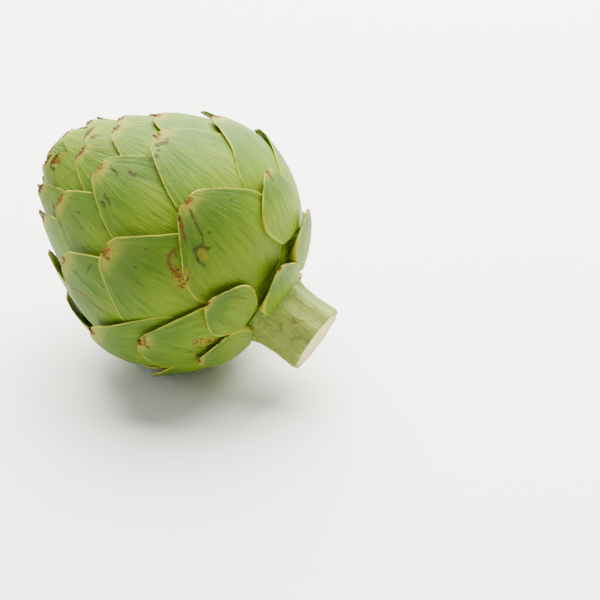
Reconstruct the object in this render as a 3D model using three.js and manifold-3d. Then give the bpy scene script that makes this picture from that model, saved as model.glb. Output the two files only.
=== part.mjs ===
// A whole globe artichoke lying on its side. Millimetres, +Z up, origin under its centre of mass
// on the small flat spot that it rests on. The stem points to +X and the tip to -X, a little raised.
//
// The head is a core with bracts that overlap like roof shingles. They follow one spiral: each
// bract is turned from the last by the golden angle and sits a little nearer the tip.

import * as THREE from "three";
import { mergeVertices } from "three/addons/utils/BufferGeometryUtils.js";
import Module from "manifold-3d";

// Core, an egg shape whose widest ring is the head's own origin. It narrows towards the tip.
const CORE_RADIUS = 44;
const CORE_TO_STEM_END = 42;
const CORE_TO_TIP = 56.4;
const TAPER = 0.35;
const TAPER_POWER = 1.5;
const CORE_SIDES = 24;
const CORE_STEPS = 12;

// Spiral of bracts. Bract 0 is the first full-sized one above the small ones at the stem. Angles
// are in degrees and run from the stem end to the tip.
const FIRST_BRACT = -13;
const LAST_BRACT = 60;
const GOLDEN_ANGLE = 137.508;
const BRACT_0_TURN = -36;
const BRACT_0_TIP = 89.3;
const LOW_STEP = 4;
const CROWN_LIMIT = 200;
const CROWN_RATE = 38.5;
const TURN_JITTER = 2;
const TIP_JITTER = 1;

// Bracts that are off the spiral or undersized: turn and tip in degrees, then the share of size.
const OFF_SPIRAL = new Map([
  [-9, [3, 4]],
  [-8, [-10, -1]],
  [-5, [9, 4, 0.8]],
  [-3, [-12, -3]],
  [-2, [3, 13]],
  [0, [2, 1, 0.9]],
  [2, [7, 0, 0.86]],
  [3, [7, 8, 0.93]],
  [5, [-3, 1]],
  [7, [3, 7]],
  [8, [4, 5]],
  [10, [5, 2]],
  [11, [9, -4]],
  [13, [6, 5]],
  [15, [-9, 5]],
  [16, [6, -4]],
  [18, [5, 3]],
  [21, [18, -3]],
  [23, [7, -1]],
  [24, [-20, -5]],
  [26, [22, -4]],
  [29, [-9, -4]],
  [31, [-4, -1]],
  [34, [-18, -2]],
  [37, [-7, -7]],
  [42, [7, -1]],
]);

// Size of a bract along the spiral, as a share of a full one.
const LOW_SHRINK = 0.075;
const SMALLEST_LOW = 0.42;
const LAST_FULL_BRACT = 3;
const CROWN_SHRINK = 38;

// One full-sized bract.
const BRACT_LENGTH = 56;
const BRACT_HALF_WIDTH = 25;
const BRACT_SHOULDER = 33;
const TIP_HALF_WIDTH = 4.6;
const ROOT_HALF_WIDTH = 11;
const NOTCH_DEPTH = 2.2;
const NOTCH_SHARE = 0.4;
const TIP_ROUNDING = 1.8;
const TIP_ZONE = 20;
const TIP_THICKNESS = 1.1;
const THICKNESS = 3;
const THINNEST = 0.8;
const SCALE_THINNING = 0.4;
const BULGE = 0.9;
const LIFT_RANGE = 1.3;
const TILT_RANGE = 0.6;
const ROOT_ANGLE = 15;
const ROOT_SINK = 3;

// Height of the shingles over the core.
const TIP_HEIGHT = 5.4;
const CROWN_TIP_HEIGHT = 4;
const CROWN_TIP_START = 90;
const CROWN_TIP_END = 160;
const SHINGLE_SLOPE = 0.115;
const CROWN_START = 110;
const CROWN_RISE = 6.9;

// Grid of a bract, rows by columns, from each bract of the spiral onwards.
const GRIDS = [
  { from: FIRST_BRACT, rows: 3, columns: 4 },
  { from: -5, rows: 4, columns: 6 },
  { from: 9, rows: 3, columns: 4 },
  { from: 26, rows: 2, columns: 4 },
];
const ROW_CROWDING = 0.8;

// Stem stub. Its outline runs from the neck to the cut, by distance below the top and radius.
const STEM_OUTLINE = [
  [0, 16],
  [3, 14],
  [7, 12.9],
  [13, 12.5],
  [21, 12.9],
  [22, 12.5],
];
const STEM_RADIUS = 12.5;
const STEM_NECK_RADIUS = 17;
const STEM_RIBS = 9;
const STEM_RIB_HEIGHT = 0.5;
const STEM_GAP = 0.3;

// How it lies.
const TIP_RAISED = 25;
const CENTRE_HEIGHT = 47.4;
const CENTRE_X = 0.8;
const SLAB_WIDTH = 300;
const SLAB_DEPTH = 100;

const SEED = 20;

const radians = THREE.MathUtils.degToRad;
const degrees = THREE.MathUtils.radToDeg;
const clamp = THREE.MathUtils.clamp;
const lerp = THREE.MathUtils.lerp;

const wasm = await Module();
wasm.setup();

// A closed geometry as a solid, and a solid as a geometry.
function solidOf(geometry) {
  const bare = new THREE.BufferGeometry();
  bare.setAttribute("position", geometry.getAttribute("position"));
  bare.setIndex(geometry.index);
  const merged = mergeVertices(bare, 1e-4);
  return new wasm.Manifold(
    new wasm.Mesh({
      numProp: 3,
      vertProperties: merged.attributes.position.array,
      triVerts: new Uint32Array(merged.index.array),
    }),
  );
}

function geometryOf(solid) {
  const mesh = solid.getMesh();
  const geometry = new THREE.BufferGeometry();
  geometry.setAttribute("position", new THREE.BufferAttribute(mesh.vertProperties, 3));
  geometry.setIndex(new THREE.BufferAttribute(mesh.triVerts, 1));
  geometry.computeVertexNormals();
  return geometry;
}

// Seeded random numbers from 0 to 1.
function randomFrom(seed) {
  let state = seed >>> 0;
  return () => {
    state = (state + 0x6d2b79f5) >>> 0;
    let t = state;
    t = Math.imul(t ^ (t >>> 15), t | 1);
    t ^= t + Math.imul(t ^ (t >>> 7), t | 61);
    return ((t ^ (t >>> 14)) >>> 0) / 4294967296;
  };
}

// The core's surface. A direction is a point of the unit sphere, with -Z at the stem end.
const coreHeight = (z) => z * (z < 0 ? CORE_TO_STEM_END : CORE_TO_TIP);
const coreRadius = (z) => CORE_RADIUS * (1 - TAPER * Math.max(0, z) ** TAPER_POWER);

function corePoint(direction, height) {
  const reach = direction.z < 0 ? CORE_TO_STEM_END : CORE_TO_TIP;
  const point = new THREE.Vector3(
    direction.x * coreRadius(direction.z),
    direction.y * coreRadius(direction.z),
    coreHeight(direction.z),
  );
  const normal = new THREE.Vector3(
    direction.x / CORE_RADIUS,
    direction.y / CORE_RADIUS,
    direction.z / reach,
  ).normalize();
  return point.addScaledVector(normal, height);
}

// Angle from the stem end to a bract's tip.
function tipAngle(n) {
  if (n < 0) return BRACT_0_TIP + LOW_STEP * n;
  return CROWN_LIMIT - (CROWN_LIMIT - BRACT_0_TIP) * Math.exp(-n / CROWN_RATE);
}

// Bracts shrink towards the stem and, more slowly, towards the tip.
function bractScale(n) {
  if (n < 0) return Math.max(SMALLEST_LOW, 1 + LOW_SHRINK * n);
  return Math.exp(-Math.max(0, n - LAST_FULL_BRACT) / CROWN_SHRINK);
}

// Height that a shingle has gained at an angle from the stem end, in millimetres.
function rise(angle) {
  const arc = (CORE_RADIUS + TIP_HEIGHT) * radians(angle);
  const crown = Math.max(0, angle - CROWN_START) / (180 - CROWN_START);
  return SHINGLE_SLOPE * arc + CROWN_RISE * crown * crown;
}

// Half the width of a full-sized bract at a distance below its tip.
function halfWidth(distance) {
  if (distance < BRACT_SHOULDER) {
    const share = Math.sin((Math.PI / 2) * (distance / BRACT_SHOULDER));
    return lerp(TIP_HALF_WIDTH, BRACT_HALF_WIDTH, share);
  }
  const share = (distance - BRACT_SHOULDER) / (BRACT_LENGTH - BRACT_SHOULDER);
  return lerp(ROOT_HALF_WIDTH, BRACT_HALF_WIDTH, Math.cos((Math.PI / 2) * share));
}

// How far the outline's end lies below the tip: a notch in the middle and rounded corners.
function endDistance(across) {
  const notch = NOTCH_DEPTH * Math.max(0, 1 - Math.abs(across) / NOTCH_SHARE);
  return notch + TIP_ROUNDING * across ** 4;
}

// Where bract n sits and how big it is.
function describe(n, random) {
  const [offTurn, offTip, share = 1] = OFF_SPIRAL.get(n) ?? [
    lerp(-TURN_JITTER, TURN_JITTER, random()),
    lerp(-TIP_JITTER, TIP_JITTER, random()),
  ];
  const scale = bractScale(n) * share;
  const tip = tipAngle(n) + offTip;
  const crown = clamp((tip - CROWN_TIP_START) / (CROWN_TIP_END - CROWN_TIP_START), 0, 1);
  const degreesPerMillimetre = degrees(1 / (CORE_RADIUS + TIP_HEIGHT));
  return {
    turn: radians(BRACT_0_TURN + GOLDEN_ANGLE * n + offTurn),
    tip,
    scale,
    degreesPerMillimetre,
    length: Math.min(BRACT_LENGTH * scale, (tip - ROOT_ANGLE) / degreesPerMillimetre),
    tipHeight: lerp(TIP_HEIGHT, CROWN_TIP_HEIGHT, crown),
    lift: LIFT_RANGE * random() * scale,
    tilt: lerp(-TILT_RANGE, TILT_RANGE, random()),
  };
}

// A point of a bract, by its distance below the tip and its offset from the middle line, on the
// outer face or the inner one.
function bractPoint(shape, distance, offset, inner) {
  const { turn, tip, scale, length } = shape;
  const angle = radians(tip - distance * shape.degreesPerMillimetre);
  const sweep = offset / coreRadius(-Math.cos(angle));
  const side = new THREE.Vector3(-Math.sin(turn), Math.cos(turn), 0);
  const direction = new THREE.Vector3(
    Math.sin(angle) * Math.cos(turn),
    Math.sin(angle) * Math.sin(turn),
    -Math.cos(angle),
  )
    .multiplyScalar(Math.cos(sweep))
    .addScaledVector(side, Math.sin(sweep));
  const reached = degrees(Math.acos(clamp(-direction.z, -1, 1)));
  const nearTip = 1 - clamp(distance / (TIP_ZONE * scale), 0, 1);
  const edge = offset / (BRACT_HALF_WIDTH * scale);
  const shingle = rise(reached) - rise(tip) + shape.tipHeight;
  const lifted = shape.lift * nearTip ** 2 + shape.tilt * edge;
  const height = shingle + lifted + BULGE * scale * (1 - edge * edge);
  if (!inner) return corePoint(direction, height);
  const fullThickness = lerp(THICKNESS, TIP_THICKNESS, nearTip);
  const thickness = Math.max(THINNEST, fullThickness * lerp(1, scale, SCALE_THINNING));
  const rootShare = clamp(distance / length, 0, 1) ** 3;
  return corePoint(direction, lerp(height - thickness, -ROOT_SINK, rootShare));
}

// One bract as a closed sheet. Rows run from root to tip, columns across.
function bract(shape, rows, columns) {
  const { scale, length } = shape;
  const positions = [];
  const index = [];
  for (const inner of [false, true])
    for (let row = 0; row <= rows; row++)
      for (let column = 0; column <= columns; column++) {
        const across = (2 * column) / columns - 1;
        const distance = lerp(length, endDistance(across) * scale, (row / rows) ** ROW_CROWDING);
        const width = halfWidth(clamp(distance / scale, 0, BRACT_LENGTH)) * scale;
        positions.push(...bractPoint(shape, distance, across * width, inner).toArray());
      }

  const at = (inner, row, column) =>
    (inner ? (rows + 1) * (columns + 1) : 0) + row * (columns + 1) + column;
  const quad = (a, b, c, d) => index.push(a, b, c, a, c, d);
  for (let row = 0; row < rows; row++)
    for (let column = 0; column < columns; column++) {
      const corners = [
        [row, column],
        [row, column + 1],
        [row + 1, column + 1],
        [row + 1, column],
      ];
      quad(...corners.map(([r, c]) => at(false, r, c)));
      quad(...corners.toReversed().map(([r, c]) => at(true, r, c)));
    }
  const rim = [];
  for (let column = 0; column < columns; column++) rim.push([0, column]);
  for (let row = 0; row < rows; row++) rim.push([row, columns]);
  for (let column = columns; column > 0; column--) rim.push([rows, column]);
  for (let row = rows; row > 0; row--) rim.push([row, 0]);
  rim.forEach(([r, c], i) => {
    const [nextRow, nextColumn] = rim[(i + 1) % rim.length];
    quad(at(false, r, c), at(true, r, c), at(true, nextRow, nextColumn), at(false, nextRow, nextColumn));
  });

  const geometry = new THREE.BufferGeometry();
  geometry.setAttribute("position", new THREE.Float32BufferAttribute(positions, 3));
  geometry.setIndex(index);
  return geometry;
}

// The core, flat at the stem end where the stem's neck meets it.
const neckAngle = Math.asin(STEM_NECK_RADIUS / CORE_RADIUS);

function core() {
  const profile = [new THREE.Vector2(0, coreHeight(-Math.cos(neckAngle)))];
  for (let i = 0; i < CORE_STEPS; i++) {
    const angle = lerp(neckAngle, Math.PI, i / CORE_STEPS);
    const z = -Math.cos(angle);
    profile.push(new THREE.Vector2(coreRadius(z) * Math.sin(angle), coreHeight(z)));
  }
  profile.push(new THREE.Vector2(0, CORE_TO_TIP));
  return new THREE.LatheGeometry(profile, CORE_SIDES).rotateX(Math.PI / 2);
}

// The largest body of a solid, with no scraps beside it and no sealed hollow in it.
function largestBody(solid) {
  return solid.decompose().reduce((a, b) => (a.volume() > b.volume() ? a : b));
}

function head() {
  const random = randomFrom(SEED);
  const parts = [solidOf(core())];
  for (let n = FIRST_BRACT; n <= LAST_BRACT; n++) {
    const grid = GRIDS.findLast(({ from }) => n >= from);
    parts.push(solidOf(bract(describe(n, random), grid.rows, grid.columns)));
  }
  return largestBody(wasm.Manifold.union(parts).subtract(stem(STEM_GAP)));
}

// The ribbed stub, cut square, with a neck that widens to the core. Grown by the gap, it is the
// hole that the bracts leave round it.
function stem(grown) {
  const top = coreHeight(-Math.cos(neckAngle)) - STEM_GAP;
  const outline = STEM_OUTLINE.map(
    ([below, radius]) => new THREE.Vector2(radius + grown, top - below),
  );
  outline[0].y += grown;
  outline.at(-1).y -= grown;
  const profile = [
    new THREE.Vector2(0, outline.at(-1).y),
    ...outline.toReversed(),
    new THREE.Vector2(0, outline[0].y),
  ];
  const geometry = new THREE.LatheGeometry(profile, 4 * STEM_RIBS).rotateX(Math.PI / 2);
  const position = geometry.getAttribute("position");
  for (let i = 0; i < position.count; i++) {
    const x = position.getX(i);
    const y = position.getY(i);
    const swell = 1 + (STEM_RIB_HEIGHT / STEM_RADIUS) * Math.cos(STEM_RIBS * Math.atan2(y, x));
    position.setXY(i, x * swell, y * swell);
  }
  return solidOf(geometry);
}

const artichoke = new THREE.Group();
artichoke.rotation.y = -radians(90 - TIP_RAISED);
artichoke.position.set(CENTRE_X, 0, CENTRE_HEIGHT);
artichoke.updateMatrixWorld(true);

// Everything under the surface that it lies on is pressed flat.
function restingOnFlat(solid) {
  const slab = new THREE.BoxGeometry(SLAB_WIDTH, SLAB_WIDTH, SLAB_DEPTH);
  slab.translate(0, 0, -SLAB_DEPTH / 2);
  slab.applyMatrix4(artichoke.matrixWorld.clone().invert());
  return solid.subtract(solidOf(slab));
}

const bractGreen = new THREE.MeshStandardMaterial({ color: 0x86a25a, roughness: 0.55, metalness: 0 });
const stemGreen = new THREE.MeshStandardMaterial({ color: 0xb9bf7c, roughness: 0.7, metalness: 0 });

const headMesh = new THREE.Mesh(geometryOf(largestBody(restingOnFlat(head()))), bractGreen);
headMesh.name = "head";
const stemMesh = new THREE.Mesh(geometryOf(stem(0)), stemGreen);
stemMesh.name = "stem";
artichoke.add(headMesh, stemMesh);

export default artichoke;
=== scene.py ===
"""Looks of a globe artichoke that lies on its side: fine bracts, a fibrous stem, floor and light.

Metres, +Z up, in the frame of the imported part. Rules of shape are in millimetres, as in the part.
"""

import math

import bpy
import numpy as np
from bpy.props import FloatProperty, FloatVectorProperty, IntProperty, PointerProperty
from mathutils import Euler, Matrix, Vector


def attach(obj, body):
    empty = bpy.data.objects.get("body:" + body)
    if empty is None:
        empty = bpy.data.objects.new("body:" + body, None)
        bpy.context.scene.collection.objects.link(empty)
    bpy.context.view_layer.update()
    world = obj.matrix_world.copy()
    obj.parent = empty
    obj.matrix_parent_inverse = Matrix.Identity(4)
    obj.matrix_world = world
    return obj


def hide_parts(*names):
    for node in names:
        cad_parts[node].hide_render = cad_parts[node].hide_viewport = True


bl_info = {
    "name": "Artichoke",
    "version": (1, 0, 0),
    "blender": (4, 5, 0),
    "location": "3D View > Sidebar > Artichoke",
    "description": "Dresses the artichoke with bracts on one spiral, a stem stub, a floor and lights",
    "category": "Object",
}

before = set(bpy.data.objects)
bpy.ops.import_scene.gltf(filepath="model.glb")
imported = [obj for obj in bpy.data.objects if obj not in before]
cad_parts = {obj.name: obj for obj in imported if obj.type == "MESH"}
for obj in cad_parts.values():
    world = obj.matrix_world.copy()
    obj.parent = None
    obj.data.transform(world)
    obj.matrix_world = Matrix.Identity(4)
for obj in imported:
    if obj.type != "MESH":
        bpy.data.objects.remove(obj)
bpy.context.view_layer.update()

MM = 0.001
ROOT = "root"

# The spiral of bracts, as in the part. Angles run from the stem end to the tip, in degrees.
FIRST_BRACT = -13
LAST_BRACT = 60
GOLDEN_ANGLE = 137.508
BRACT_0_TURN = -36
BRACT_0_TIP = 89.3
LOW_STEP = 4
CROWN_LIMIT = 200
CROWN_RATE = 38.5
TURN_JITTER = 2
TIP_JITTER = 1

# How far single bracts stand off the spiral, as in the part: turn and tip in degrees, then the
# share of their size where they are smaller than the rule gives.
OFF_SPIRAL = {
    -9: (3, 4),
    -8: (-10, -1),
    -5: (9, 4, 0.8),
    -3: (-12, -3),
    -2: (3, 13),
    0: (2, 1, 0.9),
    2: (7, 0, 0.86),
    3: (7, 8, 0.93),
    5: (-3, 1),
    7: (3, 7),
    8: (4, 5),
    10: (5, 2),
    11: (9, -4),
    13: (6, 5),
    15: (-9, 5),
    16: (6, -4),
    18: (5, 3),
    21: (18, -3),
    23: (7, -1),
    24: (-20, -5),
    26: (22, -4),
    29: (-9, -4),
    31: (-4, -1),
    34: (-18, -2),
    37: (-7, -7),
    42: (7, -1),
}

# Size, height and random differences of the bracts, as in the part.
LOW_SHRINK = 0.075
SMALLEST_LOW = 0.42
LAST_FULL_BRACT = 3
CROWN_SHRINK = 38
CROWN_TIP_HEIGHT = 4
CROWN_TIP_START = 90
CROWN_TIP_END = 160
CROWN_RISE_START = 110
CROWN_RISE_SPAN = 70
LIFT_RANGE = 1.3
TILT_RANGE = 0.6
ROOT_ANGLE = 15
SEED = 20

# Where along the head the tips are raised most, and how far to either side that fades out, in
# degrees.
CURLED_TIP = 150
CURLED_RANGE = 20

# Share of the tip's half width that the spine takes, and share of the thickness left at the rim.
SPINE_SHARE = 0.16
RIM_THICKNESS_SHARE = 0.1

# For the finish: step of the number that tells bracts apart, the bract where the crown's colours
# begin and how many more they take to come in fully.
TELL_APART = 0.618034
CROWN_COLOUR_START = 10
CROWN_COLOUR_SPAN = 24

# How the head lies, as in the part.
TIP_RAISED = 25
CENTRE = Vector((0.8, 0, 47.4)) * MM
LYING = Euler((0, -math.radians(90 - TIP_RAISED), 0))

# Scars on the side that shows most, by piece: kind, the two ends of a stroke on the head and the
# stroke's half width, in millimetres.
SCARS = {
    "lower_bracts": (
        ("brown", (33.8, 4.1, 84.1), (35.9, 4.4, 81.6), 0.55),
        ("dark", (32.4, -30.6, 30.8), (32.8, -30.5, 31.1), 0.5),
    ),
    "middle_bracts": (
        ("dark", (-2.0, -12.6, 94.4), (0.3, -10.2, 94.8), 1.0),
        ("dark", (-0.5, -14.4, 93.6), (-0.1, -14.4, 93.5), 0.6),
        ("dark", (0.0, -16.7, 92.7), (0.3, -17.0, 92.5), 0.8),
        ("dark", (-0.6, -8.5, 95.3), (0.3, -8.7, 95.1), 0.5),
        ("brown", (-3.1, -3.5, 96.3), (-1.2, -3.2, 96.1), 0.35),
        ("gold", (-4.5, -6.8, 96.1), (-2.3, -5.5, 96.0), 1.1),
        ("gold", (15.1, -4.4, 92.4), (16.4, -4.5, 91.9), 0.7),
        ("dark", (20.9, -29.3, 83.0), (23.5, -30.5, 79.0), 0.32),
        ("dark", (23.5, -30.5, 79.0), (26.6, -31.0, 74.4), 0.32),
        ("dark", (26.6, -31.0, 74.4), (27.4, -31.8, 71.7), 0.36),
        ("dark", (28.1, -28.7, 75.1), (28.4, -28.6, 74.9), 0.5),
        ("dark", (25.4, -34.5, 70.1), (26.7, -32.8, 71.1), 0.55),
        ("dark", (26.7, -32.8, 71.1), (29.3, -30.9, 69.9), 0.55),
        ("dark", (25.9, -34.6, 69.1), (27.3, -34.7, 65.8), 0.42),
        ("dark", (27.3, -34.7, 65.8), (28.8, -33.9, 64.2), 0.35),
        ("gold", (27.3, -33.2, 69.2), (28.7, -32.8, 67.3), 1.3),
        ("brown", (18.9, -37.7, 70.0), (17.8, -39.4, 68.1), 0.55),
        ("brown", (17.8, -39.4, 68.1), (18.0, -40.3, 65.7), 0.55),
        ("brown", (18.0, -40.3, 65.7), (19.7, -40.1, 63.2), 0.5),
        ("brown", (19.7, -40.1, 63.2), (21.8, -39.5, 60.6), 0.55),
        ("brown", (18.9, -37.7, 70.0), (19.8, -38.0, 68.3), 0.45),
        ("freckled", (20.7, -39.7, 62.5), (23.2, -39.1, 57.9), 2.2),
        ("freckled", (24.1, -38.4, 62.7), (24.5, -38.6, 59.6), 1.2),
        ("dark", (18.5, -33.1, 81.1), (18.9, -33.3, 80.5), 0.6),
        ("brown", (19.0, -33.5, 80.2), (20.5, -34.4, 77.4), 0.7),
        ("brown", (20.5, -34.4, 77.4), (22.1, -35.3, 73.8), 0.5),
        ("brown", (-20.9, -42.5, 44.9), (-14.5, -44.7, 45.1), 0.3),
        ("brown", (-14.5, -44.7, 45.1), (-9.9, -45.6, 42.3), 0.34),
        ("brown", (-9.9, -45.6, 42.3), (-6.7, -46.0, 41.4), 0.34),
        ("brown", (-9.6, -44.9, 38.6), (-8.8, -44.4, 36.0), 0.3),
        ("brown", (-8.8, -44.4, 36.0), (-8.5, -43.6, 33.5), 0.3),
        ("dark", (-11.6, -44.4, 58.9), (-13.2, -44.9, 55.3), 0.3),
        ("dark", (24.6, -32.7, 24.4), (25.2, -31.6, 24.0), 0.9),
        ("dark", (28.2, -31.6, 28.4), (29.3, -30.6, 29.0), 0.6),
        ("brown", (26.0, -35.0, 29.7), (27.2, -32.8, 28.3), 0.4),
        ("brown", (23.0, -36.4, 27.4), (24.2, -35.5, 27.7), 0.4),
        ("freckled", (26.3, -36.2, 32.6), (30.2, -31.4, 31.9), 1.6),
        ("dark", (11.5, -47.5, 36.7), (11.1, -46.4, 33.0), 0.5),
        ("dark", (11.0, -46.3, 32.4), (12.0, -45.2, 30.8), 0.6),
        ("gold", (12.1, -46.6, 34.6), (13.0, -45.5, 32.6), 1.1),
        ("dark", (-3.8, -46.1, 64.6), (-3.4, -46.1, 64.5), 0.6),
    ),
    "upper_bracts": (
        ("dark", (-15.7, -22.7, 87.1), (-11.1, -25.1, 85.9), 0.4),
        ("dark", (-7.2, -23.4, 87.1), (-4.7, -23.9, 86.8), 0.75),
        ("dark", (-13.2, -31.3, 80.0), (-11.1, -32.3, 79.3), 0.6),
        ("dark", (-11.1, -32.3, 79.3), (-9.8, -33.2, 78.4), 0.4),
        ("dark", (-13.6, -32.8, 78.2), (-12.3, -33.2, 78.0), 0.5),
        ("dark", (-12.4, -33.7, 77.3), (-11.7, -34.0, 77.1), 0.35),
        ("dark", (-23.4, -33.2, 71.3), (-22.8, -33.5, 71.2), 0.45),
        ("dark", (-28.5, -30.2, 74.1), (-28.2, -30.3, 74.0), 0.35),
        ("dark", (-32.1, -32.5, 63.8), (-30.9, -33.2, 62.9), 0.4),
        ("brown", (-31.3, -9.3, 88.1), (-30.4, -7.9, 88.5), 0.8),
        ("gold", (-33.5, -30.6, 69.2), (-32.2, -31.3, 68.2), 0.8),
    ),
    "crown_bracts": (
        ("dark", (-44.4, -17.9, 76.1), (-43.0, -18.0, 75.9), 0.8),
        ("brown", (-43.7, -16.8, 78.1), (-41.9, -16.3, 78.7), 1.0),
        ("brown", (-42.6, -15.7, 79.5), (-41.4, -15.5, 79.7), 0.5),
        ("brown", (-39.7, -24.3, 64.5), (-38.4, -25.1, 64.4), 0.6),
    ),
}

# Pieces that bracts are split into: first and last bract, then columns and rows of each bract.
ZONES = {
    "lower_bracts": (FIRST_BRACT, -4, 30, 30),
    "middle_bracts": (-3, 12, 36, 40),
    "upper_bracts": (13, 30, 28, 32),
    "crown_bracts": (31, LAST_BRACT, 16, 20),
}


def srgb(red, green, blue):
    """A colour given as it looks on a screen, 0 to 255, in the linear values that nodes use."""
    shares = (value / 255 for value in (red, green, blue))
    return tuple(s / 12.92 if s <= 0.04045 else ((s + 0.055) / 1.055) ** 2.4 for s in shares)


def colour_property(name, description, screen):
    return FloatVectorProperty(
        name=name, description=description, default=srgb(*screen), size=3, subtype="COLOR", min=0, max=1
    )


def millimetres(name, description, default):
    return FloatProperty(name=name, description=f"{description}, in millimetres", default=default)


class ArtichokeHeadSettings(bpy.types.PropertyGroup):
    """Sizes of the core and of a full-sized bract. The tree of the bracts has an input for each."""

    core_radius: millimetres("Core radius", "Radius of the core at its widest ring", 44)
    core_to_stem_end: millimetres("Core to stem end", "Length of the core towards the stem", 42)
    core_to_tip: millimetres("Core to tip", "Length of the core towards the tip", 56.4)
    taper: FloatProperty(
        name="Taper", description="Share of its radius that the core loses at the tip", default=0.35
    )
    taper_power: FloatProperty(
        name="Taper power", description="How late the core narrows", default=1.5
    )
    half_width: millimetres("Half width", "Half the width of a bract at its shoulder", 25)
    shoulder: millimetres("Shoulder", "Distance from a bract's tip to its widest line", 33)
    bract_length: millimetres("Bract length", "Length of a full-sized bract", 56)
    tip_half_width: millimetres("Tip half width", "Half the width of a bract's blunt tip", 4.6)
    root_half_width: millimetres("Root half width", "Half the width of a bract at its root", 11)
    notch_depth: millimetres("Notch depth", "Depth of the notch in a bract's tip", 2.2)
    spine: millimetres("Spine", "Length of the small spine in the notch", 3.0)
    crown_curl: millimetres("Crown curl", "How far the tips round the crown stand out", 1.0)
    tip_rounding: millimetres("Tip rounding", "How far the corners of the tip are set back", 1.8)
    tip_zone: millimetres("Tip zone", "Length over which a bract thins and lifts", 20)
    tip_thickness: millimetres("Tip thickness", "Thickness of a bract at its tip", 1.1)
    thickness: millimetres("Thickness", "Thickness of a bract below its tip", 3)
    thinnest: millimetres("Thinnest", "Least thickness of a bract's rim", 0.4)
    bulge: millimetres("Bulge", "Height of a bract's middle over its edges", 0.9)
    tip_height: millimetres("Tip height", "Height of a low bract's tip over the core", 5.4)
    crown_rise: millimetres("Crown rise", "Height that the shingles gain near the tip", 6.9)
    root_sink: millimetres("Root sink", "Depth of a bract's root in the core", 3)
    edge_wave: millimetres("Edge wave", "Height of the waves along a bract's edges", 0.45)
    shingle_slope: FloatProperty(
        name="Shingle slope", description="Rise of a shingle per length along the head", default=0.115
    )
    notch_share: FloatProperty(
        name="Notch share", description="Share of the tip's half width that the notch takes", default=0.4
    )


class ArtichokeColourSettings(bpy.types.PropertyGroup):
    """Colours of the bracts and the stem."""

    green: colour_property("Green", "Most of a bract", (78, 112, 28))
    tip_green: colour_property("Tip green", "Greyer green near a bract's tip", (102, 128, 50))
    sheltered: colour_property("Sheltered", "Yellow-green where a neighbour covers", (114, 142, 20))
    rim: colour_property("Rim", "Thin pale line along the edges", (170, 172, 48))
    brown: colour_property("Brown", "Dried rims and notches", (88, 52, 16))
    scar: colour_property("Scar", "Dark scars and specks", (52, 46, 20))
    gold: colour_property("Gold", "Golden stains at notches and scars", (160, 118, 30))
    inner: colour_property("Inner", "The core between bracts", (104, 124, 14))
    stem_green: colour_property("Stem green", "Skin of the stem", (128, 146, 62))
    stem_cut: colour_property("Stem cut", "Cut face of the stem", (206, 196, 124))


class ArtichokeStemSettings(bpy.types.PropertyGroup):
    """Sizes of the stem stub. Its outline is the part's own."""

    ribs: IntProperty(name="Ribs", description="Ribs round the stem", default=9, min=3)
    rib_height: millimetres("Rib height", "Height of a rib", 0.5)
    strands: IntProperty(name="Strands", description="Strand ends in the cut face", default=26, min=3)
    strand_circle: millimetres("Strand circle", "Radius of the circle of strand ends", 9.4)
    strand_radius: millimetres("Strand radius", "Radius of a strand end", 0.55)


class ArtichokeStageSettings(bpy.types.PropertyGroup):
    """Floor, lights and camera."""

    floor: colour_property("Floor", "The pale floor", (250, 250, 248))
    camera_azimuth: FloatProperty(
        name="Camera azimuth",
        description="Angle of the camera round the head",
        default=math.radians(28.16),
        subtype="ANGLE",
    )
    camera_elevation: FloatProperty(
        name="Camera elevation",
        description="Angle of the camera over the floor",
        default=math.radians(32.41),
        subtype="ANGLE",
    )
    camera_distance: FloatProperty(
        name="Camera distance", description="From the camera to its aim", default=1.275, unit="LENGTH"
    )
    aim: FloatVectorProperty(
        name="Aim",
        description="Point in the middle of the picture",
        default=(0.0434, 0.0109, 0.0292),
        size=3,
        subtype="TRANSLATION",
    )
    lens: FloatProperty(name="Lens", description="Focal length", default=208.3, unit="CAMERA")
    key_power: FloatProperty(name="Key light", description="Watts of the light above", default=124.0)
    fill_power: FloatProperty(
        name="Fill light", description="Watts of the light at the left", default=2.0
    )
    key_tint: FloatVectorProperty(
        name="Key tint",
        description="Colour of the light above",
        default=(1.0, 0.975, 0.91),
        size=3,
        subtype="COLOR",
    )
    sky: FloatProperty(name="Sky", description="Strength of the white surroundings", default=0.5)


class Value:
    """A number in a node tree, so that a rule of shape or colour reads as arithmetic."""

    def __init__(self, tree, socket):
        self.tree = tree
        self.socket = socket

    def __add__(self, other):
        return number("ADD", self, other)

    def __sub__(self, other):
        return number("SUBTRACT", self, other)

    def __rsub__(self, other):
        return number("SUBTRACT", other, self)

    def __mul__(self, other):
        return number("MULTIPLY", self, other)

    def __truediv__(self, other):
        return number("DIVIDE", self, other)

    def __pow__(self, other):
        return number("POWER", self, other)

    def __neg__(self):
        return number("SUBTRACT", 0, self)

    def __lt__(self, other):
        return number("LESS_THAN", self, other)

    __radd__ = __add__
    __rmul__ = __mul__


def put(tree, socket, value):
    """Links a value to a socket, or sets the socket to a plain one."""
    if isinstance(value, Value):
        tree.links.new(value.socket, socket)
    else:
        socket.default_value = value


def number(operation, *values):
    tree = next(value.tree for value in values if isinstance(value, Value))
    node = tree.nodes.new("ShaderNodeMath")
    node.operation = operation
    for socket, value in zip(node.inputs, values):
        put(tree, socket, value)
    return Value(tree, node.outputs[0])


def larger(a, b):
    return number("MAXIMUM", a, b)


def smaller(a, b):
    return number("MINIMUM", a, b)


def size_of(a):
    return number("ABSOLUTE", a)


def within(value, low=0, high=1):
    return smaller(larger(value, low), high)


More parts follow.
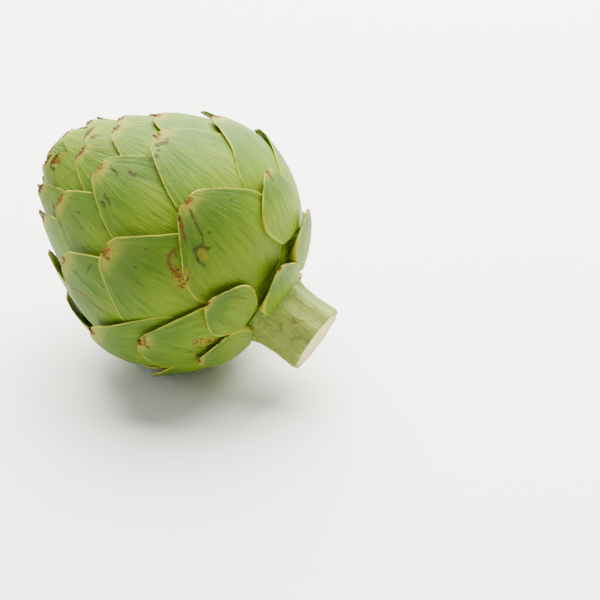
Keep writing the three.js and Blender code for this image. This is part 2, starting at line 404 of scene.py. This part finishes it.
def between(low, high, share):
    """The value that lies a share of the way from low to high."""
    if isinstance(low, (int, float)) and isinstance(high, (int, float)):
        return share * (high - low) + low
    return low + (high - low) * share


def ramp(value, start, end):
    """From 0 where the value is at start to 1 where it is at end, smooth at both."""
    share = within((value - start) / (end - start))
    return share * share * (3 - 2 * share)


def vector(tree, x, y, z):
    node = tree.nodes.new("ShaderNodeCombineXYZ")
    for socket, value in zip(node.inputs, (x, y, z)):
        put(tree, socket, value)
    return Value(tree, node.outputs[0])


def parts(tree, value):
    node = tree.nodes.new("ShaderNodeSeparateXYZ")
    put(tree, node.inputs[0], value)
    return [Value(tree, socket) for socket in node.outputs]


def noise(tree, place, scale, detail=2.0, roughness=0.5, distortion=0.0):
    """Soft random values from 0 to 1."""
    node = tree.nodes.new("ShaderNodeTexNoise")
    put(tree, node.inputs["Vector"], place)
    node.inputs["Scale"].default_value = scale
    node.inputs["Detail"].default_value = detail
    node.inputs["Roughness"].default_value = roughness
    node.inputs["Distortion"].default_value = distortion
    return Value(tree, node.outputs[0])


def random_from(seed):
    """Seeded random numbers from 0 to 1, the same ones as in the part."""
    state = seed
    while True:
        state = (state + 0x6D2B79F5) & 0xFFFFFFFF
        mixed = ((state ^ (state >> 15)) * (state | 1)) & 0xFFFFFFFF
        mixed ^= (mixed + (((mixed ^ (mixed >> 7)) * (mixed | 61)) & 0xFFFFFFFF)) & 0xFFFFFFFF
        yield (mixed ^ (mixed >> 14)) / 4294967296


def tip_angle(n):
    if n < 0:
        return BRACT_0_TIP + LOW_STEP * n
    return CROWN_LIMIT - (CROWN_LIMIT - BRACT_0_TIP) * math.exp(-n / CROWN_RATE)


def bract_scale(n):
    if n < 0:
        return max(SMALLEST_LOW, 1 + LOW_SHRINK * n)
    return math.exp(-max(0, n - LAST_FULL_BRACT) / CROWN_SHRINK)


def describe_bracts(head):
    """Where each bract sits and how big it is, by its place in the spiral."""
    draw = random_from(SEED)
    bracts = {}
    for n in range(FIRST_BRACT, LAST_BRACT + 1):
        if n in OFF_SPIRAL:
            off_turn, off_tip, share = (*OFF_SPIRAL[n], 1)[:3]
        else:
            off_turn = TURN_JITTER * (2 * next(draw) - 1)
            off_tip = TIP_JITTER * (2 * next(draw) - 1)
            share = 1
        scale = bract_scale(n) * share
        tip = tip_angle(n) + off_tip
        crown = min(1, max(0, (tip - CROWN_TIP_START) / (CROWN_TIP_END - CROWN_TIP_START)))
        longest = math.radians(tip - ROOT_ANGLE) * (head.core_radius + head.tip_height)
        bracts[n] = {
            "turn": math.radians(BRACT_0_TURN + GOLDEN_ANGLE * n + off_turn),
            "tip": math.radians(tip),
            "scale": scale,
            "length": min(head.bract_length * scale, longest),
            "tip_at": head.tip_height + (CROWN_TIP_HEIGHT - head.tip_height) * crown,
            "lift": LIFT_RANGE * next(draw) * scale,
            "curl": head.crown_curl * max(0, 1 - abs(tip - CURLED_TIP) / CURLED_RANGE),
            "tilt": TILT_RANGE * (2 * next(draw) - 1),
            "bract": (n * TELL_APART) % 1,
            "crown": min(1, max(0, (n - CROWN_COLOUR_START) / CROWN_COLOUR_SPAN)),
        }
    return bracts


def named(tree, name):
    """A number that each point carries under a name."""
    node = tree.nodes.new("GeometryNodeInputNamedAttribute")
    node.data_type = "FLOAT"
    node.inputs["Name"].default_value = name
    return Value(tree, node.outputs["Attribute"])


def keep(tree, geometry, name, value):
    """Stores a number on each point, for the finish to read."""
    node = tree.nodes.new("GeometryNodeStoreNamedAttribute")
    node.data_type = "FLOAT"
    node.domain = "POINT"
    put(tree, node.inputs["Geometry"], geometry)
    node.inputs["Name"].default_value = name
    put(tree, node.inputs["Value"], value)
    return Value(tree, node.outputs["Geometry"])


def step(tree, kind, output="Geometry", **inputs):
    """Adds a geometry node and sets its inputs by name."""
    node = tree.nodes.new(kind)
    for name, value in inputs.items():
        put(tree, node.inputs[name.replace("_", " ")], value)
    return Value(tree, node.outputs[output])


def new_tree(name, sizes):
    """A geometry tree with a named input for each size, and those inputs as values."""
    tree = bpy.data.node_groups.new(name, "GeometryNodeTree")
    tree.interface.new_socket("Geometry", in_out="INPUT", socket_type="NodeSocketGeometry")
    tree.interface.new_socket("Geometry", in_out="OUTPUT", socket_type="NodeSocketGeometry")
    kinds = {int: "NodeSocketInt", float: "NodeSocketFloat"}
    for label, value in sizes.items():
        kind = kinds.get(type(value), "NodeSocketMaterial")
        tree.interface.new_socket(label, in_out="INPUT", socket_type=kind)
    start = tree.nodes.new("NodeGroupInput")
    end = tree.nodes.new("NodeGroupOutput")
    values = {socket.name: Value(tree, socket) for socket in start.outputs if socket.name}
    return tree, values, end.inputs[0]


def sizes_of(settings):
    """Every number of a property group, by its label."""
    names = settings.__annotations__
    return {settings.bl_rna.properties[name].name: getattr(settings, name) for name in names}


def made_by(tree, name, mesh, sizes):
    """Runs a tree on a mesh and returns the result as a plain object."""
    seedling = bpy.data.objects.new(name + "_points", mesh)
    bpy.context.scene.collection.objects.link(seedling)
    modifier = seedling.modifiers.new(name, "NODES")
    modifier.node_group = tree
    for item in tree.interface.items_tree:
        if item.in_out == "INPUT" and item.name in sizes:
            modifier[item.identifier] = sizes[item.name]
    evaluated = seedling.evaluated_get(bpy.context.evaluated_depsgraph_get())
    made = bpy.data.meshes.new_from_object(evaluated)
    made.name = name
    seedling.modifiers.remove(modifier)
    bpy.data.objects.remove(seedling)
    bpy.data.meshes.remove(mesh)
    if not made.polygons:
        raise RuntimeError(f"{name} came out empty")
    return placed(name, made)


def placed(name, mesh):
    piece = bpy.data.objects.new(name, mesh)
    bpy.context.scene.collection.objects.link(piece)
    return piece


def belongs(piece, node):
    """The piece stands for a solid of the part: it hangs under the root body, and that solid is hidden.
    """
    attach(piece, ROOT)
    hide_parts(node)


def bract_tree(sizes):
    """A tree that grows a closed bract from each point, by the part's own rules of shape."""
    tree, size, result = new_tree("Bract spiral", sizes)
    sheet = step(
        tree,
        "GeometryNodeMeshCube",
        "Mesh",
        Size=(2, 1, 1),
        Vertices_X=size["Columns"],
        Vertices_Y=size["Rows"],
        Vertices_Z=3,
    )
    grown = step(
        tree, "GeometryNodeInstanceOnPoints", "Instances", Points=size["Geometry"], Instance=sheet
    )
    geometry = step(tree, "GeometryNodeRealizeInstances", Geometry=grown)

    turn, tip, scale, length, tip_at, lift, curl, tilt, bract = (
        named(tree, name)
        for name in ("turn", "tip", "scale", "length", "tip_at", "lift", "curl", "tilt", "bract")
    )
    spot = parts(tree, step(tree, "GeometryNodeInputPosition", "Position"))
    across = number("SINE", spot[0] * (math.pi / 2))
    near = size_of(across)
    share = 1 - (0.5 - spot[1]) ** 1.5
    face = size_of(spot[2]) * 2
    inner = within(0.5 - spot[2])

    # Outline: distance below the tip, and offset from the middle line.
    notch = size["Notch depth"] * larger(0, 1 - near / size["Notch share"])
    spine = size["Spine"] * larger(0, 1 - near / SPINE_SHARE) ** 1.4
    ragged = noise(tree, vector(tree, across * 1.7, bract * 90, 0), 1.6) - 0.5
    end = (notch - spine + size["Tip rounding"] * near**4 + ragged * 1.4 * near) * scale
    distance = between(length, end, share)
    below = larger(distance / scale, 0)
    rising = number("SINE", smaller(below / size["Shoulder"], 1) * (math.pi / 2))
    upper = between(size["Tip half width"], size["Half width"], rising)
    beyond = within((below - size["Shoulder"]) / (size["Bract length"] - size["Shoulder"]))
    falling = number("COSINE", beyond * (math.pi / 2))
    lower = between(size["Root half width"], size["Half width"], falling)
    uneven = noise(tree, vector(tree, number("SIGN", across), below * 0.11, bract * 50), 1.0) - 0.5
    width = between(lower, upper, below < size["Shoulder"]) * scale * (1 + uneven * 0.06)

    # Thickness thins towards the tip and the rim, and rounds off there.
    tip_share = 1 - within(distance / (size["Tip zone"] * scale))
    full = between(size["Thickness"], size["Tip thickness"], tip_share)
    rim = between(1, RIM_THICKNESS_SHARE, near**5)
    thick = larger(size["Thinnest"], full * between(1, scale, 0.4) * rim)
    rounding = face * thick * 0.4
    at_tip = ramp(share, 0.9, 1)
    distance = distance + rounding * at_tip
    offset = across * (width - rounding * near**8)

    # Place on the sphere, and height over the core.
    def tapered(along):
        return 1 - size["Taper"] * larger(0, along) ** size["Taper power"]

    radius = size["Core radius"]
    angle = tip - distance / (radius + size["Tip height"])
    turned, spread = number("COSINE", turn), number("SINE", turn)
    ahead, up = number("SINE", angle), number("COSINE", angle)
    sweep = offset / (radius * tapered(-up))
    straight, aside = number("COSINE", sweep), number("SINE", sweep)
    x = ahead * turned * straight - spread * aside
    y = ahead * spread * straight + turned * aside
    z = -(up * straight)

    def rise(reached):
        past = larger(0, reached - math.radians(CROWN_RISE_START))
        crown = past / math.radians(CROWN_RISE_SPAN)
        arc = (radius + size["Tip height"]) * reached
        return size["Shingle slope"] * arc + size["Crown rise"] * crown * crown

    reached = number("ARCCOSINE", within(-z, -1, 1))
    edge = offset / (size["Half width"] * scale)
    wave = noise(tree, vector(tree, across * 2.2, below * 0.09, bract * 70), 1.0) - 0.5
    height = (
        rise(reached)
        - rise(tip)
        + tip_at
        + lift * tip_share**2
        + curl * tip_share**3
        + tilt * edge
        + size["Bulge"] * scale * (1 - edge * edge)
        + wave * size["Edge wave"] * 2 * (near**2) * scale
    )
    root_share = within(distance / length) ** 3
    height = between(height, between(height - thick, -size["Root sink"], root_share), inner)

    reach = between(size["Core to tip"], size["Core to stem end"], z < 0)
    slim = tapered(z)
    across_x, across_y, along_z = x / radius, y / radius, z / reach
    long = (across_x * across_x + across_y * across_y + along_z * along_z) ** 0.5
    shaped = vector(
        tree,
        x * radius * slim + across_x / long * height,
        y * radius * slim + across_y / long * height,
        z * reach + along_z / long * height,
    )
    geometry = keep(tree, geometry, "across", across)
    geometry = keep(tree, geometry, "below_tip", below)
    geometry = keep(tree, geometry, "from_edge", smaller(width - size_of(offset), distance - end))
    geometry = step(tree, "GeometryNodeSetPosition", Geometry=geometry, Position=shaped)
    geometry = step(
        tree,
        "GeometryNodeTransform",
        Geometry=geometry,
        Translation=CENTRE,
        Rotation=LYING,
        Scale=(MM, MM, MM),
    )

    # Everything under the surface that it lies on is pressed flat.
    lying = parts(tree, step(tree, "GeometryNodeInputPosition", "Position"))
    pressed = vector(tree, lying[0], lying[1], larger(lying[2], 0))
    geometry = step(tree, "GeometryNodeSetPosition", Geometry=geometry, Position=pressed)
    geometry = step(tree, "GeometryNodeSetShadeSmooth", Geometry=geometry)
    geometry = step(tree, "GeometryNodeRealizeInstances", Geometry=geometry)
    geometry = step(tree, "GeometryNodeSetMaterial", Geometry=geometry, Material=size["Finish"])
    put(tree, result, geometry)
    return tree


def points_with(values):
    """A mesh of loose points at the origin that carry numbers under names."""
    mesh = bpy.data.meshes.new("bract_points")
    mesh.vertices.add(len(values))
    for name in values[0]:
        layer = mesh.attributes.new(name, "FLOAT", "POINT")
        layer.data.foreach_set("value", [value[name] for value in values])
    return mesh


def carried(tree, name):
    """A number that the surface carries, in a finish."""
    node = tree.nodes.new("ShaderNodeAttribute")
    node.attribute_type = "GEOMETRY"
    node.attribute_name = name
    return Value(tree, node.outputs["Fac"])


def vector_math(tree, operation, first, second, output="Vector"):
    node = tree.nodes.new("ShaderNodeVectorMath")
    node.operation = operation
    put(tree, node.inputs[0], first)
    put(tree, node.inputs["Scale"] if operation == "SCALE" else node.inputs[1], second)
    return Value(tree, node.outputs[output])


def object_place(tree):
    """Place on the object in millimetres."""
    coordinates = tree.nodes.new("ShaderNodeTexCoord")
    return vector_math(tree, "SCALE", Value(tree, coordinates.outputs["Object"]), 1 / MM)


def tinted(tree, first, second, share):
    """The first colour with a share of the second over it."""
    node = tree.nodes.new("ShaderNodeMix")
    node.data_type = "RGBA"
    put(tree, node.inputs[0], share)
    for socket, value in ((node.inputs[6], first), (node.inputs[7], second)):
        put(tree, socket, value if isinstance(value, Value) else (*value, 1))
    return Value(tree, node.outputs[2])


def raised(tree, height, distance):
    """A bump whose height is in millimetres."""
    node = tree.nodes.new("ShaderNodeBump")
    node.inputs["Distance"].default_value = distance * MM
    node.inputs["Strength"].default_value = 1
    put(tree, node.inputs["Height"], height)
    return Value(tree, node.outputs["Normal"])


def new_finish(name):
    material = bpy.data.materials.new(name)
    material.use_nodes = True
    tree = material.node_tree
    return material, tree, tree.nodes["Principled BSDF"]


def from_stroke(tree, place, start, end):
    """Distance to the nearest point of a straight stroke."""
    run = Vector(end) - Vector(start)
    offset = vector_math(tree, "SUBTRACT", place, start)
    along = vector_math(tree, "DOT_PRODUCT", offset, run.normalized(), "Value")
    along = within(along, 0, run.length)
    nearest = vector_math(tree, "SCALE", run.normalized(), along)
    return vector_math(tree, "DISTANCE", offset, nearest, "Value")


def scarred(tree, colour, colours, scars, place):
    """A colour with a piece's scars over it, ragged at their edges."""
    ragged = noise(tree, place, 1.1, 3, 0.65) - 0.5
    flecks = ramp(noise(tree, place, 0.9, 3, 0.6), 0.47, 0.58)
    edges = {}
    for kind, start, end, radius in scars:
        edge = from_stroke(tree, place, start, end) - radius
        edges[kind] = smaller(edges[kind], edge) if kind in edges else edge
    if "gold" in edges:
        stain = ramp(edges["gold"] + ragged * 4, 1.4, -1.2)
        colour = tinted(tree, colour, colours.gold, stain * 0.3)
    if "freckled" in edges:
        inside = ramp(edges["freckled"] + ragged * 3, 0.7, -0.7)
        colour = tinted(tree, colour, colours.gold, inside * 0.4)
        colour = tinted(tree, colour, colours.scar, inside * flecks * 0.9)
    if "brown" in edges:
        dried = ramp(edges["brown"] + ragged * 2.2, 0.35, -0.2)
        colour = tinted(tree, colour, colours.brown, dried * 0.8)
    if "dark" in edges:
        mark = ramp(edges["dark"] + ragged * 2, 0.3, -0.2)
        colour = tinted(tree, colour, colours.scar, mark * 0.8)
    return colour


def bract_finish(colours, name, scars):
    """Waxy green skin: fine lines to the tip, thin rims, brown notches, specks and scars."""
    material, tree, shader = new_finish(name)
    across = carried(tree, "across")
    below = carried(tree, "below_tip")
    from_edge = carried(tree, "from_edge")
    bract = carried(tree, "bract")
    crown = carried(tree, "crown")
    place = object_place(tree)

    # Lines that run along the bract and meet at its tip, and patches that do not.
    lines = noise(tree, vector(tree, across * 13, below * 0.05, bract * 200), 1.0, 3, 0.62, 0.5)
    hairlines = noise(tree, vector(tree, across * 36, below * 0.1, bract * 170), 1.0, 2, 0.6)
    broad = noise(tree, vector(tree, across * 4.5, below * 0.045, bract * 130), 1.0, 2)
    mottle = noise(tree, place, 0.13, 3, 0.6)
    grain = noise(tree, place, 1.7, 4, 0.65)
    uneven = noise(tree, vector(tree, across * 3.3, below * 0.14, bract * 60), 1.0, 3, 0.65)

    # Green: greyer at the tip, yellower towards the crown and where a neighbour lies over it.
    colour = tinted(tree, colours.green, colours.tip_green, ramp(below + mottle * 12, 24, 2) * 0.85)
    shelter = ramp(below + broad * 16, 18, 42) * 0.85
    colour = tinted(tree, colour, colours.sheltered, larger(shelter, crown * 0.7))
    colour = tinted(tree, colour, colours.tip_green, ramp(mottle, 0.5, 0.72) * 0.3)
    clear = between(0.35, 1, ramp(below + mottle * 6, 5, 22))
    colour = tinted(tree, colour, colours.sheltered, ramp(lines, 0.54, 0.72) * clear * 0.6)
    streak = (lines - 0.5) * 0.36 + (hairlines - 0.5) * 0.12 - ramp(lines, 0.44, 0.3) * 0.16
    shade = 0.82 + streak * clear + (bract - 0.5) * 0.16 + (broad - 0.5) * 0.4
    colour = vector_math(tree, "SCALE", colour, shade)

    # Rims: a pale thread, dried brown in places and nearer the tip.
    rim = ramp(from_edge + (uneven - 0.5) * 0.7, 0.7, 0.2)
    colour = tinted(tree, colour, colours.rim, rim * 0.85)
    dry = ramp(uneven + crown * 0.2 + ramp(below, 14, 0) * 0.12, 0.56, 0.68)
    colour = tinted(tree, colour, colours.brown, dry * ramp(from_edge + grain * 0.6, 0.9, 0.3) * 0.85)

    # Notches: an orange-brown blot round the spine, darker at its point.
    from_notch = (below * below + (across * 4.6) ** 2) ** 0.5
    blot = from_notch + (grain - 0.5) * 3 + (uneven - 0.5) * 5 - crown * 1.6
    colour = tinted(tree, colour, colours.rim, ramp(blot, 7.5, 3.0) * 0.3)
    colour = tinted(tree, colour, colours.gold, ramp(blot, 3.4, 1.6) * 0.75)
    colour = tinted(tree, colour, colours.brown, ramp(blot, 2.3, 1.2) * 0.85)
    point = below + (grain - 0.5) * 2 - crown * 2.4
    colour = tinted(tree, colour, colours.scar, ramp(point, 0.5, -0.6) * 0.9)

    # Short dark dashes along the lines, here and there on every bract.
    dashes = noise(tree, vector(tree, across * 13, below * 0.22, bract * 37), 1.0, 2, 0.45)
    dashes = ramp(dashes + (mottle - 0.5) * 0.22, 0.71, 0.76) * ramp(below, 40, 30)
    colour = tinted(tree, colour, colours.scar, dashes * 0.8)
    bruise = ramp(uneven + (mottle - 0.5) * 0.6, 0.76, 0.9) * 0.3 + ramp(broad, 0.5, 0.75) * 0.16
    colour = tinted(tree, colour, colours.brown, bruise)
    colour = scarred(tree, colour, colours, scars, place)

    put(tree, shader.inputs["Base Color"], colour)
    put(tree, shader.inputs["Roughness"], 0.38 + grain * 0.2 + mottle * 0.1)
    shader.inputs["Specular IOR Level"].default_value = 0.1
    relief = lines * clear * 0.8 + hairlines * 0.15 + broad * 0.7 + grain * 0.3 - dashes * 0.3
    put(tree, shader.inputs["Normal"], raised(tree, relief, 0.6))
    return material


def inner_finish(colours):
    """The paler feet of the bracts inside, which only show through gaps."""
    material, tree, shader = new_finish("inner_bracts")
    place = object_place(tree)
    shade = noise(tree, place, 0.5, 3)
    colour = tinted(tree, colours.inner, colours.sheltered, ramp(shade, 0.35, 0.65))
    put(tree, shader.inputs["Base Color"], vector_math(tree, "SCALE", colour, 0.5 + shade * 0.4))
    shader.inputs["Roughness"].default_value = 0.7
    shader.inputs["Specular IOR Level"].default_value = 0.05
    put(tree, shader.inputs["Normal"], raised(tree, shade, 0.4))
    return material


def stem_finish(colours, stem):
    """Ribbed green skin with long fibres, and a cream cut face with a ring of strand ends."""
    material, tree, shader = new_finish("stem_skin")
    side = [carried(tree, "side_x"), carried(tree, "side_y")]
    along = carried(tree, "along")
    cut = carried(tree, "cut")
    place = object_place(tree)
    fibre = noise(tree, vector(tree, side[0] * 1.5, side[1] * 1.5, along * 0.09), 1.0, 4, 0.6)
    mottle = noise(tree, place, 0.3, 3, 0.6)
    grain = noise(tree, place, 2.4, 3, 0.6)
    skin = tinted(tree, colours.stem_green, colours.green, ramp(along + mottle * 8, 16, 2) * 0.7)
    skin = tinted(tree, skin, colours.rim, ramp(fibre, 0.5, 0.7) * 0.6)
    skin = tinted(tree, skin, colours.brown, ramp(mottle + fibre * 0.4, 0.74, 0.92) * 0.6)
    skin = vector_math(tree, "SCALE", skin, 0.6 + fibre * 0.7)

    # Cut face: pith, a greener rim, and dots where the strands were cut.
    inward = (side[0] * side[0] + side[1] * side[1]) ** 0.5
    turn = number("ARCTAN2", side[1], side[0]) * (stem.strands / (2 * math.pi))
    apart = 2 * math.pi * stem.strand_circle / stem.strands
    aside = (number("FRACT", turn + stem.strands) - 0.5) * apart
    aside = aside + (mottle - 0.5) * 4
    away = (aside * aside + (inward - stem.strand_circle + (grain - 0.5) * 1.5) ** 2) ** 0.5
    pith = tinted(tree, colours.stem_cut, colours.gold, ramp(mottle, 0.5, 0.75) * 0.3)
    pith = tinted(tree, pith, colours.stem_green, ramp(inward + grain, 10.8, 12.4))
    dot = ramp(away, stem.strand_radius * 1.8, stem.strand_radius * 0.8) * ramp(grain, 0.3, 0.6)
    pith = tinted(tree, pith, colours.brown, dot * 0.45)
    pith = vector_math(tree, "SCALE", pith, 0.85 + grain * 0.3)
    put(tree, shader.inputs["Base Color"], tinted(tree, skin, pith, cut))
    put(tree, shader.inputs["Roughness"], 0.5 + grain * 0.2)
    shader.inputs["Specular IOR Level"].default_value = 0.2
    put(tree, shader.inputs["Normal"], raised(tree, fibre * 1.2 + grain * 0.5, 0.5))
    return material


def floor_finish(stage):
    """Smooth pale surface."""
    material, tree, shader = new_finish("pale_floor")
    cloud = noise(tree, object_place(tree), 0.004)
    shaded = [channel * 0.97 for channel in stage.floor]
    put(tree, shader.inputs["Base Color"], tinted(tree, stage.floor, shaded, cloud))
    shader.inputs["Roughness"].default_value = 0.6
    shader.inputs["Specular IOR Level"].default_value = 0.3
    return material


def lathed(name, rings, layers, finish):
    """A closed mesh from rings of points, given from the stem end towards the tip."""
    rows, columns = rings.shape[:2]
    index = np.arange(rows * columns).reshape(rows, columns)
    turned = np.roll(index, -1, axis=1)
    sides = np.stack([index[:-1], turned[:-1], turned[1:], index[1:]], axis=-1).reshape(-1, 4)
    first, last = rows * columns, rows * columns + 1
    ends = [(first, turned[0, k], index[0, k]) for k in range(columns)]
    ends += [(last, index[-1, k], turned[-1, k]) for k in range(columns)]
    points = [*rings.reshape(-1, 3).tolist(), rings[0].mean(0).tolist(), rings[-1].mean(0).tolist()]
    mesh = bpy.data.meshes.new(name)
    mesh.from_pydata(points, [], sides.tolist() + [tuple(map(int, end)) for end in ends])
    for label, values in layers.items():
        layer = mesh.attributes.new(label, "FLOAT", "POINT")
        whole = [*np.ravel(values), np.mean(values[0]), np.mean(values[-1])]
        layer.data.foreach_set("value", np.asarray(whole, np.float32))
    mesh.materials.append(finish)
    mesh.shade_smooth()
    return placed(name, mesh)


def laid(points):
    """Points of the head's own frame, in millimetres, as they lie on the floor, in metres."""
    turn = np.array(LYING.to_matrix())
    return points @ turn.T * MM + np.array(CENTRE)


# The core's rings and sides, the radius of its end at the stem, the angle left at its pole in
# radians and how much smaller its radius is than that of the part's own core.
CORE_RINGS = 60
CORE_SIDES = 96
CORE_NECK = 17
CORE_POLE = 0.02
CORE_SUNK = 0.6

# Ripples in the core: their share of its radius, their number and how much they twist.
RIPPLE_SHARE = 0.006
RIPPLES = 21
RIPPLE_TWIST = 6


class ARTICHOKE_OT_core(bpy.types.Operator):
    """Make the core, which shows only where bracts gape"""

    bl_idname = "artichoke.core"
    bl_label = "Core"

    def execute(self, context):
        head = context.scene.artichoke_head
        finish = inner_finish(context.scene.artichoke_colours)
        neck = math.asin(CORE_NECK / head.core_radius)
        angles = np.linspace(neck, math.pi - CORE_POLE, CORE_RINGS)
        turns = np.linspace(0, 2 * math.pi, CORE_SIDES, endpoint=False)
        angle, turn = np.meshgrid(angles, turns, indexing="ij")
        swell = 1 + RIPPLE_SHARE * np.sin(RIPPLES * turn + RIPPLE_TWIST * angle)
        reach = np.where(np.cos(angle) > 0, head.core_to_stem_end, head.core_to_tip)
        slim = 1 - head.taper * np.maximum(0, -np.cos(angle)) ** head.taper_power
        ring = (head.core_radius - CORE_SUNK) * np.sin(angle) * slim * swell
        rings = np.stack([ring * np.cos(turn), ring * np.sin(turn), -np.cos(angle) * reach], -1)
        belongs(lathed("core", laid(rings), {}, finish), "head")
        return {"FINISHED"}


class ARTICHOKE_OT_bracts(bpy.types.Operator):
    """Grow every bract of the spiral, in four pieces from the stem to the crown"""

    bl_idname = "artichoke.bracts"
    bl_label = "Bracts"

    def execute(self, context):
        head = context.scene.artichoke_head
        colours = context.scene.artichoke_colours
        bracts = describe_bracts(head)
        sizes = {"Columns": 2, "Rows": 2, **sizes_of(head), "Finish": None}
        tree = bract_tree(sizes)
        for name, (first, last, columns, rows) in ZONES.items():
            points = points_with([bracts[n] for n in range(first, last + 1)])
            finish = bract_finish(colours, f"{name}_skin", SCARS[name])
            sizes.update({"Columns": columns + 1, "Rows": rows + 1, "Finish": finish})
            belongs(made_by(tree, name, points, sizes), "head")
        return {"FINISHED"}


# The stem's outline, as in the part: distance below its top, then radius. Its top is just clear
# of the head. Then the rings of its skin and its cut face, the innermost ring of that face as a
# share of its radius, and how deep the face sinks.
STEM_OUTLINE = ((0, 16), (3, 14), (7, 12.9), (13, 12.5), (21, 12.9), (22, 12.5))
STEM_LENGTH = 22
STEM_RADIUS = 12.5
STEM_CLEARANCE = 0.3
STEM_SIDES = 144
SKIN_RINGS = 65
CUT_RINGS = 24
INNERMOST_CUT_RING = 0.04
CUT_HOLLOW = 0.5


class ARTICHOKE_OT_stem(bpy.types.Operator):
    """Make the ribbed stem stub with its cut face"""

    bl_idname = "artichoke.stem"
    bl_label = "Stem"

    def execute(self, context):
        head = context.scene.artichoke_head
        stem = context.scene.artichoke_stem
        finish = stem_finish(context.scene.artichoke_colours, stem)
        neck = math.asin(CORE_NECK / head.core_radius)
        top = -head.core_to_stem_end * math.cos(neck) - STEM_CLEARANCE

        # From the middle of the cut face, which sinks a little, to its rim and up the skin.
        shares = np.linspace(INNERMOST_CUT_RING, 1, CUT_RINGS)[:-1]
        skin = np.linspace(STEM_LENGTH, 0, SKIN_RINGS)
        below = np.concatenate([STEM_LENGTH - CUT_HOLLOW * (1 - shares) ** 0.5, skin])
        radius = np.concatenate([STEM_RADIUS * shares, np.interp(skin, *zip(*STEM_OUTLINE))])
        cut = np.concatenate([np.ones(CUT_RINGS - 1), np.zeros(SKIN_RINGS)])
        turns = np.linspace(0, 2 * math.pi, STEM_SIDES, endpoint=False)
        ribbed = 1 + stem.rib_height / STEM_RADIUS * np.cos(stem.ribs * turns)
        side_x = radius[:, None] * ribbed * np.cos(turns)
        side_y = radius[:, None] * ribbed * np.sin(turns)
        along = below[:, None] + 0 * side_x
        on_cut = cut[:, None] + 0 * side_x
        rings = np.stack([side_x, side_y, top - along], -1)
        layers = {"side_x": side_x, "side_y": side_y, "along": along, "cut": on_cut}
        belongs(lathed("stem_stub", laid(rings), layers, finish), "stem")
        return {"FINISHED"}


# Places and widths of the two lights, and half the width of the floor, in metres.
KEY_PLACE = (-0.18, 0.6, 0.86)
KEY_SIZE = 1.5
FILL_PLACE = (-0.9, -0.5, 0.5)
FILL_SIZE = 0.5
FLOOR_REACH = 9


class ARTICHOKE_OT_stage(bpy.types.Operator):
    """Set up the pale floor, the soft lights and the camera"""

    bl_idname = "artichoke.stage"
    bl_label = "Stage"

    def execute(self, context):
        scene = context.scene
        stage = scene.artichoke_stage
        a, e = stage.camera_azimuth, stage.camera_elevation
        back = Vector((math.sin(a) * math.cos(e), -math.cos(a) * math.cos(e), math.sin(e)))
        lens = bpy.data.cameras.new("camera")
        lens.lens = stage.lens
        lens.clip_start = 0.01
        camera = bpy.data.objects.new("camera", lens)
        camera.location = Vector(stage.aim) + back * stage.camera_distance
        camera.rotation_euler = back.to_track_quat("Z", "Y").to_euler()
        scene.collection.objects.link(camera)
        scene.camera = camera

        floor = bpy.data.meshes.new("floor")
        signs = ((-1, -1), (1, -1), (1, 1), (-1, 1))
        corners = [(x * FLOOR_REACH, y * FLOOR_REACH, 0) for x, y in signs]
        floor.from_pydata(corners, [], [(0, 1, 2, 3)])
        floor.materials.append(floor_finish(stage))
        placed("floor", floor)

        world = bpy.data.worlds.new("studio")
        world.use_nodes = True
        world.node_tree.nodes["Background"].inputs["Color"].default_value = (1, 1, 1, 1)
        world.node_tree.nodes["Background"].inputs["Strength"].default_value = stage.sky
        scene.world = world
        self.softbox(scene, "key", KEY_PLACE, KEY_SIZE, stage.key_power, stage.key_tint)
        self.softbox(scene, "fill", FILL_PLACE, FILL_SIZE, stage.fill_power, (1, 1, 1))
        return {"FINISHED"}

    def softbox(self, scene, name, place, size, power, tint):
        light = bpy.data.lights.new(name, "AREA")
        light.size = size
        light.energy = power
        light.color = tint
        lamp = bpy.data.objects.new(name, light)
        lamp.location = place
        lamp.rotation_euler = (Vector(place) - CENTRE).to_track_quat("Z", "Y").to_euler()
        scene.collection.objects.link(lamp)


class ARTICHOKE_PT_sidebar(bpy.types.Panel):
    """Steps of the artichoke, in the order that they are made"""

    bl_label = "Artichoke"
    bl_space_type = "VIEW_3D"
    bl_region_type = "UI"
    bl_category = "Artichoke"

    def draw(self, context):
        for operator in OPERATORS:
            self.layout.operator(operator.bl_idname)


OPERATORS = (
    ARTICHOKE_OT_stage,
    ARTICHOKE_OT_core,
    ARTICHOKE_OT_bracts,
    ARTICHOKE_OT_stem,
)
SETTINGS = {
    "artichoke_head": ArtichokeHeadSettings,
    "artichoke_colours": ArtichokeColourSettings,
    "artichoke_stem": ArtichokeStemSettings,
    "artichoke_stage": ArtichokeStageSettings,
}


def register():
    for group in SETTINGS.values():
        bpy.utils.register_class(group)
    for name, group in SETTINGS.items():
        setattr(bpy.types.Scene, name, PointerProperty(type=group))
    for entry in (*OPERATORS, ARTICHOKE_PT_sidebar):
        bpy.utils.register_class(entry)


def unregister():
    for entry in reversed((*OPERATORS, ARTICHOKE_PT_sidebar)):
        bpy.utils.unregister_class(entry)
    for name, group in SETTINGS.items():
        delattr(bpy.types.Scene, name)
        bpy.utils.unregister_class(group)


def main():
    register()
    for operator in OPERATORS:
        group, name = operator.bl_idname.split(".")
        getattr(getattr(bpy.ops, group), name)()


if __name__ == "__main__":
    main()
